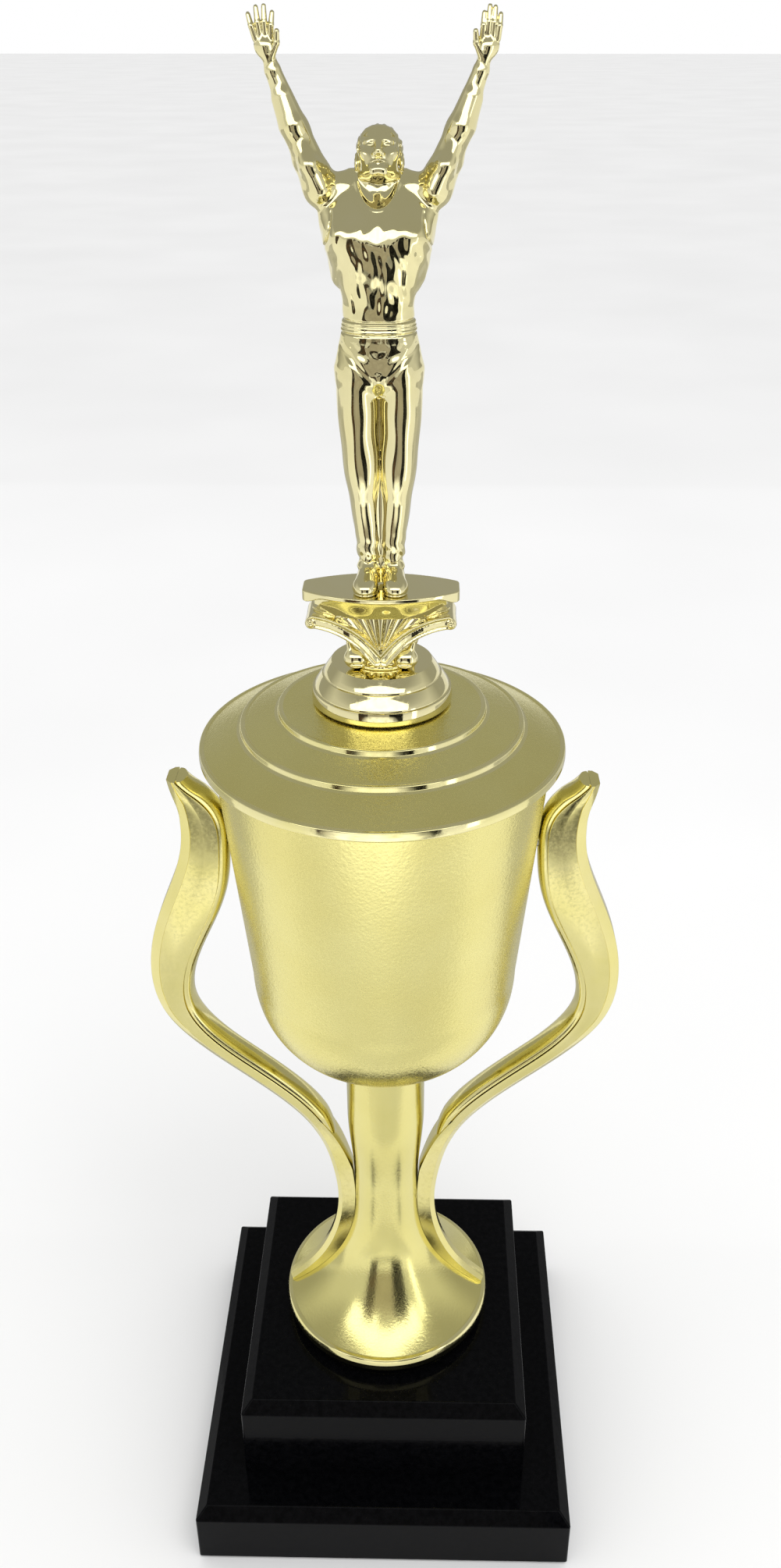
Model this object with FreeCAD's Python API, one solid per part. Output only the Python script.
"""Two-handled cup trophy with a lift-off lid, a victory figure and a two-tier base.

Millimetres, +Z up.  The origin is the centre of the face that the trophy stands on.
The handles lie in the XZ plane and the figure faces -Y.
"""
import FreeCAD, Part

import math
import os

from FreeCAD import Vector

os.makedirs("parts", exist_ok=True)

# ---------------------------------------------------------------- driving dimensions
GAP = 0.1                    # clearance between pieces that are glued or screwed together
FAR = 400.0                  # larger than any piece

# base
FELT_SIDE = 117.0
FELT_T = 1.2
LOWER_SIDE = 124.0
LOWER_TOP = 24.0
UPPER_SIDE = 93.6
UPPER_TOP = 58.0
BEVEL = 3.6
LACQUER_R = 0.8              # softening of the lacquered edges
WELL_R = 14.0                # counterbore for the tie-rod nut
WELL_TOP = 11.2
BASE_SCREW_REACH = 30.0      # screws at plus and minus this distance in X and Y
BASE_SCREW_R = 2.0
BASE_SCREW_TOP = 40.0

# tie rod and its fasteners
ROD_R = 3.0
ROD_HOLE_R = 3.5
ROD_BOTTOM = 2.4
ROD_TOP = 185.0
NUT_FLATS = 10.0
NUT_H = 5.0
WASHER_T = 1.2
WASHER_R = 9.0

# foot and stem
FOOT_R = 35.0
FOOT_RING_R = 31.0
FOOT_RING_WALL = 2.2
FOOT_LIFT = 3.0              # height of the recessed ring below the rolled lip
LIP_H = 5.2
LIP_IN = 1.6                 # how far the lip's top is inside the foot's radius
WAIST_R = 10.6
WAIST_Z = 118.0
FLARE_POWER = 3.3
STEM_R = 12.4
STEM_Z = 146.0               # the stem is straight above this
STEM_WALL = 1.8
STEM_CAP = 3.0               # thickness of the stem's closed top

# cup
CUP_Z = 174.5                # underside of the bowl
SHOULDER_R = 39.4
SHOULDER_Z = 206.5           # the bowl is rounded below this and tapers above it
CUP_RIM_R = 46.6
CUP_RIM_Z = 280.0
CUP_FLAT_R = 8.0
BOWL_POWER = 2.18            # exponent of the superellipse that rounds the bowl
CUP_WALL = 1.6

# lid
LID_UNDER_Z = 280.3
LID_WALL = 1.5
LID_STEP = 1.3               # height of the bright step at each tier's edge
LID_TIERS = [(50.0, 281.7), (38.6, 287.95), (28.2, 292.35)]
LID_TOP_Z = 293.8
LID_BORE_R = 3.3             # hole for the figure's bolt, in the lid, the collar and the pedestal
LID_LIP_Z = 279.1            # underside of the lid's turned-down edge
LID_LIP_W = 1.5
SKIRT_R = 43.9
SKIRT_Z = 271.0

# figure's mount on the lid
COLLAR_R = 18.8
COLLAR_TOP_Z = 305.6
BAND_Z = 320.4               # underside of the standing plate
PLATE_Z = 326.2
PLATE_HALF = 20.2
PLATE_FRONT = 10.5
PLATE_BACK = 9.0
BOLT_TOP_Z = 317.0
NUT_BED = 2.0                # material between the collar and the moulded-in nut
SCROLL_REACH = 19.1
SCROLL_R = 2.2
SCROLL_LENGTH = 12.4

# handles
HANDLE_DEPTH = 9.2
RIB_DEPTH = 5.6
STRIP_T = 2.7                # thickness of the inner cover strip
STRIP_DEPTH = 8.2
HANDLE_WALL = 1.8
HANDLE_BEVEL = 2.2
HANDLE_TIP_Z = 269.4         # the handles end in a level cut
HANDLE_SCREW_Z = 249.0
HANDLE_SCREW_R = 1.75
HANDLE_SCREW_GRIP = 10.5     # how far the screws reach past the cup's wall
# centre line of one handle, from beyond its tip down to the foot: (x, z, half width)
HANDLE_PATH = [
    (58.9, 272.5, 3.7),
    (55.3, 265.6, 4.5),
    (51.6, 258.0, 6.3),
    (50.9, 248.0, 6.9),
    (53.2, 235.0, 7.9),
    (59.6, 218.5, 7.9),
    (63.9, 203.0, 6.6),
    (63.0, 189.5, 5.3),
    (55.6, 177.6, 4.3),
    (43.0, 165.6, 4.0),
    (31.4, 155.0, 3.9),
    (22.6, 144.4, 3.7),
    (17.4, 132.5, 3.2),
    (14.7, 119.0, 2.6),
    (13.9, 105.0, 2.3),
    (16.6, 90.5, 2.2),
    (23.0, 77.6, 2.0),
    (32.6, 67.4, 1.7),
]
SEAM_END = 12                # the cover strip ends at this point of the path
HOLLOW_END = 8               # and the channel is hollow down to this one
RIB_ROOT = 2.6               # how far the rib reaches in towards the stem before it is trimmed
STRIP_R = 2.2

# athlete
FIGURE_TOP_Z = 456.2
FOOT_X = 2.5
FOOT_Y = 0.5
PEG_R = 1.3
PEG_H = 4.0


# ---------------------------------------------------------------- helpers
def save(name, shape):
    """Write one sub-part, after making sure that it is sound."""
    if not shape.isValid():
        raise ValueError(name + " is not valid")
    for solid in shape.Solids:
        if solid.Volume <= 0:
            raise ValueError(name + " has an inverted solid")
    shape.exportStep("parts/" + name + ".step")
    print(name, len(shape.Solids), round(shape.Volume, 1))


def whole(shape):
    """The shape with its coplanar faces merged, as a solid where it is a single one."""
    clean = shape.removeSplitter()
    if len(clean.Solids) == 1:
        return clean.Solids[0]
    return clean


def cylinder(radius, low, high, x=0.0, y=0.0):
    return Part.makeCylinder(radius, high - low, Vector(x, y, low))


def box(low, high):
    size = Vector(*high).sub(Vector(*low))
    return Part.makeBox(size.x, size.y, size.z, Vector(*low))


def bar(start, end, start_r, end_r):
    """A tapered round bar with rounded ends."""
    a = Vector(*start)
    b = Vector(*end)
    axis = b.sub(a)
    if abs(start_r - end_r) < 0.001:
        middle = Part.makeCylinder(start_r, axis.Length, a, axis)
    else:
        middle = Part.makeCone(start_r, end_r, axis.Length, a, axis)
    return middle.fuse([Part.makeSphere(start_r, a), Part.makeSphere(end_r, b)])


def line(a, b):
    return Part.LineSegment(a, b).toShape()


def curve(points):
    """A smooth edge through the points."""
    spline = Part.BSplineCurve()
    spline.interpolate(points)
    return spline.toShape()


def xz(pairs):
    return [Vector(x, 0, z) for x, z in pairs]


def chain(pairs):
    """Straight edges through (radius, z) pairs."""
    points = xz(pairs)
    return [line(points[i], points[i + 1]) for i in range(len(points) - 1)]


def revolve(edges):
    """Turn a closed ring of XZ edges about the Z axis."""
    face = Part.Face(Part.Wire(edges))
    return Part.Solid(face.revolve(Vector(0, 0, 0), Vector(0, 0, 1), 360))


def hex_prism(flats, low, high):
    corner = flats / math.sqrt(3)
    angles = [math.radians(60 * i) for i in range(7)]
    ring = [Vector(corner * math.cos(a), corner * math.sin(a), low) for a in angles]
    return Part.Face(Part.makePolygon(ring)).extrude(Vector(0, 0, high - low))


def hex_blank(flats, low, high):
    """A hexagonal prism with its corners turned off at both ends."""
    corner = flats / math.sqrt(3)
    taper = 0.12 * flats
    radius = corner - taper / 2
    profile = chain([(0, low), (radius, low), (radius + taper, low + taper / 2),
                     (radius + taper, high - taper / 2), (radius, high), (0, high), (0, low)])
    return hex_prism(flats, low, high).common(revolve(profile))


def hex_nut(low, bore):
    return whole(hex_blank(NUT_FLATS, low, low + NUT_H).cut(cylinder(bore, low - 1, low + NUT_H + 1)))


def washer(low, radius, bore):
    return cylinder(radius, low, low + WASHER_T).cut(cylinder(bore, low - 1, low + WASHER_T + 1))


def mirror_x(shape):
    return shape.mirror(Vector(0, 0, 0), Vector(1, 0, 0))


# ---------------------------------------------------------------- base
def tier(side, low, high):
    """A square block with a bevel round its top and every lacquered edge softened."""
    half = side / 2
    block = box((-half, -half, low), (half, half, high))
    rim = [e for e in block.Edges if e.BoundBox.ZMin > high - 0.01]
    block = block.makeChamfer(BEVEL, rim)
    lacquered = [e for e in block.Edges if e.BoundBox.ZMax > low + 0.01]
    return block.makeFillet(LACQUER_R, lacquered)


def base_screw_places():
    reach = BASE_SCREW_REACH
    return [(x, y) for x in (-reach, reach) for y in (-reach, reach)]


def base_screw(x, y, grow=0.0):
    """A countersunk wood screw, point up; grow makes the hole that it sits in."""
    head_r = 2 * BASE_SCREW_R + grow
    shank_r = BASE_SCREW_R + grow
    low = FELT_T + 0.4
    neck = low + head_r - shank_r
    tip = BASE_SCREW_TOP + grow
    profile = [(0, low), (head_r, low), (shank_r, neck), (shank_r, tip - 2 * shank_r), (0, tip), (0, low)]
    screw = revolve(chain(profile))
    if grow:
        screw = screw.fuse(cylinder(head_r, 0, low))
    else:
        for slot in (box((-2.4, -0.5, 0), (2.4, 0.5, low + 1)), box((-0.5, -2.4, 0), (0.5, 2.4, low + 1))):
            screw = screw.cut(slot)
    screw.translate(Vector(x, y, 0))
    return screw


def base():
    holes = [base_screw(x, y, GAP) for x, y in base_screw_places()]
    lower = tier(LOWER_SIDE, FELT_T, LOWER_TOP).cut(holes)
    lower = lower.cut([cylinder(WELL_R, 0, WELL_TOP), cylinder(ROD_HOLE_R, 0, LOWER_TOP + 1)])
    upper = tier(UPPER_SIDE, LOWER_TOP, UPPER_TOP).cut(holes)
    upper = upper.cut(cylinder(ROD_HOLE_R, LOWER_TOP - 1, UPPER_TOP + 1))
    half = FELT_SIDE / 2
    save("base_felt_pad", box((-half, -half, 0), (half, half, FELT_T)))
    save("base_lower_tier", whole(lower))
    save("base_upper_tier", whole(upper))
    save("base_tier_screws", Part.makeCompound([base_screw(x, y) for x, y in base_screw_places()]))


# ---------------------------------------------------------------- tie rod
def tie_rod():
    """The rod that clamps base, stem and cup together, with its nuts and washers."""
    tip = 0.6
    profile = [(0, ROD_BOTTOM), (ROD_R - tip, ROD_BOTTOM), (ROD_R, ROD_BOTTOM + tip), (ROD_R, ROD_TOP - tip),
               (ROD_R - tip, ROD_TOP), (0, ROD_TOP), (0, ROD_BOTTOM)]
    save("tie_rod", revolve(chain(profile)))
    bore = ROD_R + GAP / 2
    save("tie_rod_base_washer", washer(WELL_TOP - WASHER_T, WASHER_R, ROD_HOLE_R))
    save("tie_rod_base_nut", hex_nut(WELL_TOP - WASHER_T - NUT_H, bore))
    floor = CUP_Z + CUP_WALL
    save("cup_washer", washer(floor, WASHER_R - 1.5, ROD_HOLE_R))
    save("cup_nut", hex_nut(floor + WASHER_T, bore))


# ---------------------------------------------------------------- foot and stem
def flare_radius(z, shrink=0.0):
    """Radius of the trumpet foot, which narrows smoothly from the lip to the waist."""
    rim_z = UPPER_TOP + FOOT_LIFT + LIP_H
    left = max(0.0, (WAIST_Z - z) / (WAIST_Z - rim_z))
    return WAIST_R + (FOOT_R - LIP_IN - WAIST_R) * left ** FLARE_POWER - shrink


def stem_side(shrink):
    """The outline of foot and stem from the lip up, moved in by shrink."""
    rim_z = UPPER_TOP + FOOT_LIFT + LIP_H
    heights = [rim_z, 69.0, 72.5, 77.5, 84.0, 93.0, 104.0, WAIST_Z]
    flare = [(flare_radius(z, shrink), z - 0.8 * shrink * (WAIST_Z - z) / (WAIST_Z - rim_z)) for z in heights]
    swell = [(WAIST_R + 0.75 * (STEM_R - WAIST_R) - shrink, 133.0), (STEM_R - shrink, STEM_Z)]
    side = curve(xz(flare + swell))
    top = Vector(STEM_R - shrink, 0, CUP_Z - GAP - (STEM_CAP if shrink > 0 else 0.0))
    return side, line(Vector(STEM_R - shrink, 0, STEM_Z), top)


def foot_envelope(grow):
    """A solid that holds the whole outside of the foot and stem."""
    side, straight = stem_side(-grow)
    start = side.valueAt(side.FirstParameter)
    top = straight.valueAt(straight.LastParameter)
    lip = FOOT_R + grow
    foot_z = UPPER_TOP + FOOT_LIFT
    edges = chain([(0, foot_z - 1), (lip, foot_z - 1), (lip, start.z), (start.x, start.z)])
    edges += [side, straight, line(top, Vector(0, 0, top.z)), line(Vector(0, 0, top.z), Vector(0, 0, foot_z - 1))]
    return revolve(edges)


def foot_stem():
    side, straight = stem_side(0.0)
    inner_side, inner_straight = stem_side(STEM_WALL)
    start = side.valueAt(side.FirstParameter)
    top = straight.valueAt(straight.LastParameter)
    inner_start = inner_side.valueAt(inner_side.FirstParameter)
    inner_top = inner_straight.valueAt(inner_straight.LastParameter)
    lip_low = Vector(FOOT_R - 1.2, 0, UPPER_TOP + FOOT_LIFT)
    lip_mid = Vector(FOOT_R, 0, UPPER_TOP + FOOT_LIFT + LIP_H / 2)
    edges = [Part.Arc(lip_low, lip_mid, start).toShape(), side, straight]
    edges += [line(top, Vector(ROD_R + 0.3, 0, top.z))]
    edges += [line(Vector(ROD_R + 0.3, 0, top.z), Vector(ROD_R + 0.3, 0, inner_top.z))]
    edges += [line(Vector(ROD_R + 0.3, 0, inner_top.z), inner_top)]
    edges += [inner_straight, inner_side]
    ring_in = FOOT_RING_R - FOOT_RING_WALL
    edges += [line(inner_start, Vector(ring_in, 0, inner_start.z))]
    edges += chain([(ring_in, inner_start.z), (ring_in, UPPER_TOP), (FOOT_RING_R, UPPER_TOP),
                    (FOOT_RING_R, lip_low.z), (lip_low.x, lip_low.z)])
    save("foot_stem", revolve(Part.sortEdges(edges)[0]))


# ---------------------------------------------------------------- cup
def bowl_points(shrink):
    """Points down the rounded bottom of the bowl, from the shoulder to the flat."""
    points = []
    for i in range(9):
        angle = math.radians(90 * i / 8)
        reach = math.cos(angle) ** (2 / BOWL_POWER)
        drop = math.sin(angle) ** (2 / BOWL_POWER)
        radius = CUP_FLAT_R + (SHOULDER_R - shrink - CUP_FLAT_R) * reach
        points.append((radius, SHOULDER_Z - (SHOULDER_Z - CUP_Z - shrink) * drop))
    return points


def cup_solid(shrink):
    """The bowl as a filled solid, moved in by shrink."""
    bowl = curve(xz(bowl_points(shrink)))
    low = CUP_Z + shrink
    edges = [bowl]
    edges += chain([(CUP_FLAT_R, low), (0, low), (0, CUP_RIM_Z), (CUP_RIM_R - shrink, CUP_RIM_Z),
                    (SHOULDER_R - shrink, SHOULDER_Z)])
    return revolve(Part.sortEdges(edges)[0])


def cup_radius(z):
    """Outer radius of the cup on its straight taper."""
    return SHOULDER_R + (CUP_RIM_R - SHOULDER_R) * (z - SHOULDER_Z) / (CUP_RIM_Z - SHOULDER_Z)


def handle_screw_hole(radius):
    """A bore along X that passes through both sides of the cup and ends inside the handles."""
    reach = cup_radius(HANDLE_SCREW_Z) + HANDLE_SCREW_GRIP + 0.3
    return Part.makeCylinder(radius, 2 * reach, Vector(-reach, 0, HANDLE_SCREW_Z), Vector(1, 0, 0))


def cup_bowl():
    shell = cup_solid(0.0).cut(cup_solid(CUP_WALL))
    bead = Part.makeTorus(CUP_RIM_R - 0.7, 1.0, Vector(0, 0, CUP_RIM_Z - 1.0))
    shell = shell.fuse(bead)
    shell = shell.cut([cylinder(ROD_R + 0.3, CUP_Z - 1, CUP_Z + CUP_WALL + 1),
                       handle_screw_hole(HANDLE_SCREW_R + 0.25)])
    save("cup_bowl", whole(shell))


# ---------------------------------------------------------------- handles
def handle_edge(side, first, last, inset=0.0):
    """Points along one long edge of the handle; side is 1 outside and -1 inside."""
    centres = xz([(x, z) for x, z, _ in HANDLE_PATH])
    spline = Part.BSplineCurve()
    spline.interpolate(centres)
    points = []
    for i in range(first, last + 1):
        tangent = spline.tangent(spline.parameter(centres[i]))[0]
        reach = side * (HANDLE_PATH[i][2] - inset)
        points.append(centres[i].add(Vector(-tangent.z, 0, tangent.x).multiply(reach)))
    return points


def band(outer, inner, depth):
    """A flat solid between two smooth edges, centred on the XZ plane."""
    edges = [curve(outer), line(outer[-1], inner[-1]), curve(inner), line(inner[0], outer[0])]
    face = Part.Face(Part.Wire(Part.sortEdges(edges)[0]))
    solid = face.extrude(Vector(0, depth, 0))
    solid.translate(Vector(0, -depth / 2, 0))
    return solid


def long_edges(solid, points):
    """The two flat-side edges of a band that run through the middle one of the points."""
    middle = points[len(points) // 2]
    found = []
    for edge in solid.Edges:
        flat = edge.BoundBox.YLength < 0.01
        probe = Part.Vertex(Vector(middle.x, edge.BoundBox.YMin, middle.z))
        if flat and edge.distToShape(probe)[0] < 0.05:
            found.append(edge)
    return found


def depth_taper():
    """A wedge that narrows the handle from its full depth to the slim rib on the foot."""
    full = HANDLE_DEPTH / 2 + 1
    slim = RIB_DEPTH / 2
    half = [(full, 300), (full, 152), (slim, 112), (slim, 40)]
    ring = half + [(-y, z) for y, z in reversed(half)] + half[:1]
    return Part.Face(Part.makePolygon([Vector(0, y, z) for y, z in ring])).extrude(Vector(FAR, 0, 0))


def above_tip():
    """Everything higher than the level end of the handles."""
    return box((0, -HANDLE_DEPTH, HANDLE_TIP_Z), (FAR, HANDLE_DEPTH, FAR))


def handle_outer():
    """The outer channel of the right-hand handle, with the rib that runs down on to the foot."""
    last = len(HANDLE_PATH) - 1
    outer = handle_edge(1, 0, last)
    inner = handle_edge(-1, 0, SEAM_END) + handle_edge(-1, SEAM_END + 1, last, -RIB_ROOT)
    body = band(outer, inner, HANDLE_DEPTH)
    body = body.makeChamfer(HANDLE_BEVEL, long_edges(body, outer)).common(depth_taper())
    hollow = band(handle_edge(1, 2, HOLLOW_END, HANDLE_WALL + 1), handle_edge(-1, 2, HOLLOW_END, 0.5),
                  HANDLE_DEPTH - 2 * HANDLE_WALL)
    boss = cylinder(3.5, 0, 20)
    boss.rotate(Vector(0, 0, 0), Vector(0, 1, 0), 90)
    boss.translate(Vector(cup_radius(HANDLE_SCREW_Z) + 2.7, 0, HANDLE_SCREW_Z))
    hollow = hollow.cut(boss)
    seat = band(handle_edge(-1, 0, SEAM_END, STRIP_T + GAP), handle_edge(-1, 0, SEAM_END, -1), FAR)
    body = body.cut([seat, hollow, foot_envelope(GAP), cup_solid(-GAP), handle_screw_hole(HANDLE_SCREW_R + 0.02),
                     above_tip()])
    return whole(max(body.Solids, key=lambda solid: solid.Volume))


def handle_inner():
    """The cover strip that closes the channel on the cup's side."""
    outer = handle_edge(-1, 0, SEAM_END, STRIP_T)
    inner = handle_edge(-1, 0, SEAM_END)
    strip = band(outer, inner, STRIP_DEPTH)
    strip = strip.makeFillet(STRIP_R, long_edges(strip, inner))
    strip = strip.cut([foot_envelope(GAP), cup_solid(-GAP), handle_screw_hole(HANDLE_SCREW_R + 0.25), above_tip()])
    return whole(max(strip.Solids, key=lambda solid: solid.Volume))


def handle_screw():
    """A pan-head screw driven outwards from inside the cup into the handle."""
    head = cup_radius(HANDLE_SCREW_Z) - CUP_WALL - 0.35
    tip = cup_radius(HANDLE_SCREW_Z) + HANDLE_SCREW_GRIP
    shank = HANDLE_SCREW_R
    profile = [(0, head - 2.4), (2.6, head - 2.4), (3.4, head - 1.6), (3.4, head), (shank, head),
               (shank, tip - 2), (0, tip), (0, head - 2.4)]
    screw = revolve(chain(profile))
    screw = screw.cut([box((-2, -0.4, 0), (2, 0.4, head - 1.4)), box((-0.4, -2, 0), (0.4, 2, head - 1.4))])
    screw.rotate(Vector(0, 0, 0), Vector(0, 1, 0), 90)
    screw.translate(Vector(0, 0, HANDLE_SCREW_Z))
    return screw


def handles():
    outer = handle_outer()
    inner = handle_inner()
    screw = handle_screw()
    save("handle_right_outer", outer)
    save("handle_right_inner", inner)
    save("handle_left_outer", mirror_x(outer))
    save("handle_left_inner", mirror_x(inner))
    save("handle_screws", Part.makeCompound([screw, mirror_x(screw)]))


# ---------------------------------------------------------------- lid
def lid_shell():
    """A stepped shallow cone with a skirt that drops inside the cup's mouth."""
    top = [(0, LID_TOP_Z), (COLLAR_R + 1.0, LID_TOP_Z)]
    for radius, z in reversed(LID_TIERS):
        top += [(radius - 0.8, z), (radius, z - 0.5)]
        if radius < LID_TIERS[0][0]:
            top += [(radius, z - LID_STEP), (radius + 0.8, z - LID_STEP - 0.2)]
    edge = LID_TIERS[0][0]
    under = [(edge, LID_LIP_Z + 0.5), (edge - 0.5, LID_LIP_Z), (edge - LID_LIP_W, LID_LIP_Z),
             (edge - LID_LIP_W - 0.2, LID_UNDER_Z), (SKIRT_R, LID_UNDER_Z), (SKIRT_R - 0.3, SKIRT_Z),
             (SKIRT_R - LID_WALL - 0.3, SKIRT_Z), (SKIRT_R - LID_WALL, LID_UNDER_Z + 2 * LID_WALL)]
    for radius, z in LID_TIERS[1:]:
        under += [(radius + 0.9, z - LID_STEP - LID_WALL - 0.4), (radius - LID_WALL, z - LID_WALL - 0.4)]
    under += [(COLLAR_R + 1.0, LID_TOP_Z - LID_WALL), (0, LID_TOP_Z - LID_WALL)]
    shell = revolve(chain(top + under + top[:1]))
    return shell.cut(cylinder(LID_BORE_R, SKIRT_Z, FAR))


def figure_bolt():
    """The hex bolt, washer and captive nut that hold the figure on the lid."""
    under = LID_TOP_Z - LID_WALL - WASHER_T
    head_h = 4.0
    shank = cylinder(ROD_R, under - 0.01, BOLT_TOP_Z - 0.6)
    tip = Part.makeCone(ROD_R, ROD_R - 0.6, 0.6, Vector(0, 0, BOLT_TOP_Z - 0.6))
    save("figure_bolt", whole(hex_blank(NUT_FLATS, under - head_h, under).fuse([shank, tip])))
    save("figure_washer", washer(under, WASHER_R, ROD_HOLE_R))
    save("figure_nut", hex_nut(COLLAR_TOP_Z + NUT_BED, ROD_R + GAP / 2))


def figure_collar():
    """A hollow dome with two fine steps, standing on the lid."""
    wall = 2.4
    low = LID_TOP_Z
    foot = (COLLAR_R - 0.9, low)
    belly = (COLLAR_R, low + 2.0)
    lower_step = (COLLAR_R - 0.3, low + 4.4)
    middle = (COLLAR_R - 0.8, low + 4.5)
    upper_step = (COLLAR_R - 2.2, low + 8.1)
    shoulder = (COLLAR_R - 2.8, low + 8.2)
    crown = (COLLAR_R - 6.0, COLLAR_TOP_Z)
    edges = [Part.Arc(*xz([foot, belly, lower_step])).toShape()]
    edges += chain([lower_step, middle])
    edges += [Part.Arc(*xz([middle, (COLLAR_R - 1.1, low + 6.5), upper_step])).toShape()]
    edges += chain([upper_step, shoulder])
    edges += [Part.Arc(*xz([shoulder, (COLLAR_R - 3.9, low + 10.5), crown])).toShape()]
    edges += chain([crown, (LID_BORE_R, COLLAR_TOP_Z), (LID_BORE_R, COLLAR_TOP_Z - wall),
                    (COLLAR_R - 7.5, COLLAR_TOP_Z - wall), (COLLAR_R - 4.2, low), foot])
    save("figure_collar", revolve(edges))


# ---------------------------------------------------------------- pedestal
def plate_outline(inset, z):
    """The standing plate's outline: bowed in front, less so behind, with short straight ends."""
    half = PLATE_HALF - inset
    front = PLATE_FRONT - inset
    back = PLATE_BACK - inset
    front_end = Vector(half, -3.8 + inset / 2, z)
    back_end = Vector(half, 3.4 - inset / 2, z)
    front_mid = Vector(0, -front, z)
    back_mid = Vector(0, back, z)
    front_start = Vector(-half, front_end.y, z)
    back_start = Vector(-half, back_end.y, z)
    edges = [Part.Arc(front_start, front_mid, front_end).toShape(), line(front_end, back_end),
             Part.Arc(back_end, back_mid, back_start).toShape(), line(back_start, front_start)]
    return Part.Wire(edges)


def oval(half_x, half_y, z, x=0.0, y=0.0):
    """An elliptical section at height z, centred on (x, y)."""
    if half_x >= half_y:
        ellipse = Part.Ellipse(Vector(x, y, z), half_x, half_y)
    else:
        ellipse = Part.Ellipse(Vector(x, y + half_y, z), Vector(x + half_x, y, z), Vector(x, y, z))
    return Part.Wire(ellipse.toShape())


def figure_pedestal():
    """The standing plate on a flared capital with a scroll at each end."""
    plate = Part.Face(plate_outline(0, BAND_Z + 1.4)).extrude(Vector(0, 0, PLATE_Z - BAND_Z - 1.4))
    cove = Part.makeLoft([plate_outline(2.6, BAND_Z), plate_outline(0.9, BAND_Z + 1.4)], True)
    low = COLLAR_TOP_Z
    flare = [(9.0, 7.4, low), (8.9, 7.2, low + 2.0), (8.4, 6.6, low + 4.5), (11.0, 6.9, low + 8.5),
             (15.2, 7.4, low + 12.0), (17.4, 7.8, BAND_Z)]
    capital = Part.makeLoft([oval(half_x, half_y, z) for half_x, half_y, z in flare], True)
    pieces = [cove, capital]
    for x in (-1, 1):
        scroll_at = Vector(x * (SCROLL_REACH - SCROLL_R), -SCROLL_LENGTH / 2, BAND_Z - 3.4)
        pieces.append(Part.makeCylinder(SCROLL_R, SCROLL_LENGTH, scroll_at, Vector(0, 1, 0)))
    block = plate.fuse(pieces)
    holes = [cylinder(LID_BORE_R, low - 1, BOLT_TOP_Z + 1),
             hex_prism(NUT_FLATS + 2 * GAP, low + NUT_BED - GAP, low + NUT_BED + NUT_H + GAP)]
    holes += [cylinder(PEG_R + GAP, PLATE_Z - PEG_H - 0.5, PLATE_Z + 1, x, FOOT_Y) for x in (-FOOT_X, FOOT_X)]
    return whole(block.cut(holes))


# ---------------------------------------------------------------- athlete
def leg(side):
    """One trouser leg, from the ankle up into the hip."""
    sections = [(2.5, 2.2, 2.9, 2.0), (14, 2.7, 3.4, 2.2), (23, 3.5, 4.2, 2.6), (31, 4.0, 4.3, 3.1),
                (40, 4.4, 4.9, 4.0), (50, 5.2, 5.7, 4.9), (57, 5.0, 5.9, 4.9)]
    wires = [oval(half_x, half_y, PLATE_Z + z, side * x, 0.6) for z, half_x, half_y, x in sections]
    return Part.makeLoft(wires, True)


def torso():
    sections = [(48, 9.2, 6.2, 0.6), (55, 9.9, 6.6, 0.6), (62, 8.8, 6.0, 0.4), (68, 8.5, 5.8, 0.0),
                (76, 10.2, 6.6, -0.4), (84, 12.3, 7.2, -0.6), (90, 13.0, 6.8, -0.2), (95, 10.6, 5.2, 0.4),
                (98.5, 5.0, 3.6, 0.8)]
    wires = [oval(half_x, half_y, PLATE_Z + z, 0, y) for z, half_x, half_y, y in sections]
    return Part.makeLoft(wires, True)


def athlete():
    """A standing figure in a vest and trousers, arms raised in a V and head tipped back."""
    ground = PLATE_Z
    pieces = [torso()]
    for side in (-1, 1):
        shoulder = (side * 11.6, 0.6, ground + 92.5)
        elbow = (side * 17.3, 1.0, ground + 105.0)
        wrist = (side * 22.4, 0.6, ground + 117.5)
        palm = (side * 24.6, 0.2, ground + 122.5)
        fingers = (side * 25.4, -0.4, FIGURE_TOP_Z - 1.1)
        pieces += [leg(side), bar(shoulder, elbow, 4.0, 3.0), bar(elbow, wrist, 3.0, 1.7)]
        pieces += [bar(wrist, palm, 1.7, 2.3), bar(palm, fingers, 2.3, 1.1)]
        pieces.append(bar((side * FOOT_X, 1.0, ground + 2.2), (side * 2.9, -6.6, ground + 1.7), 3.0, 2.4))
    pieces.append(bar((0, 0.9, ground + 94), (0, -0.6, ground + 101.5), 3.6, 3.4))
    pieces.append(bar((0, 0.9, ground + 103.4), (0, -2.6, ground + 100.6), 4.9, 3.4))
    body = pieces[0].fuse(pieces[1:])
    body = body.common(box((-FAR, -FAR, ground), (FAR, FAR, FAR * 2)))
    pegs = [cylinder(PEG_R, ground - PEG_H, ground + 2, x, FOOT_Y) for x in (-FOOT_X, FOOT_X)]
    return whole(body.fuse(pegs))


base()
tie_rod()
foot_stem()
cup_bowl()
handles()
save("lid_shell", lid_shell())
figure_bolt()
figure_collar()
save("figure_pedestal", figure_pedestal())
save("athlete_figure", athlete())
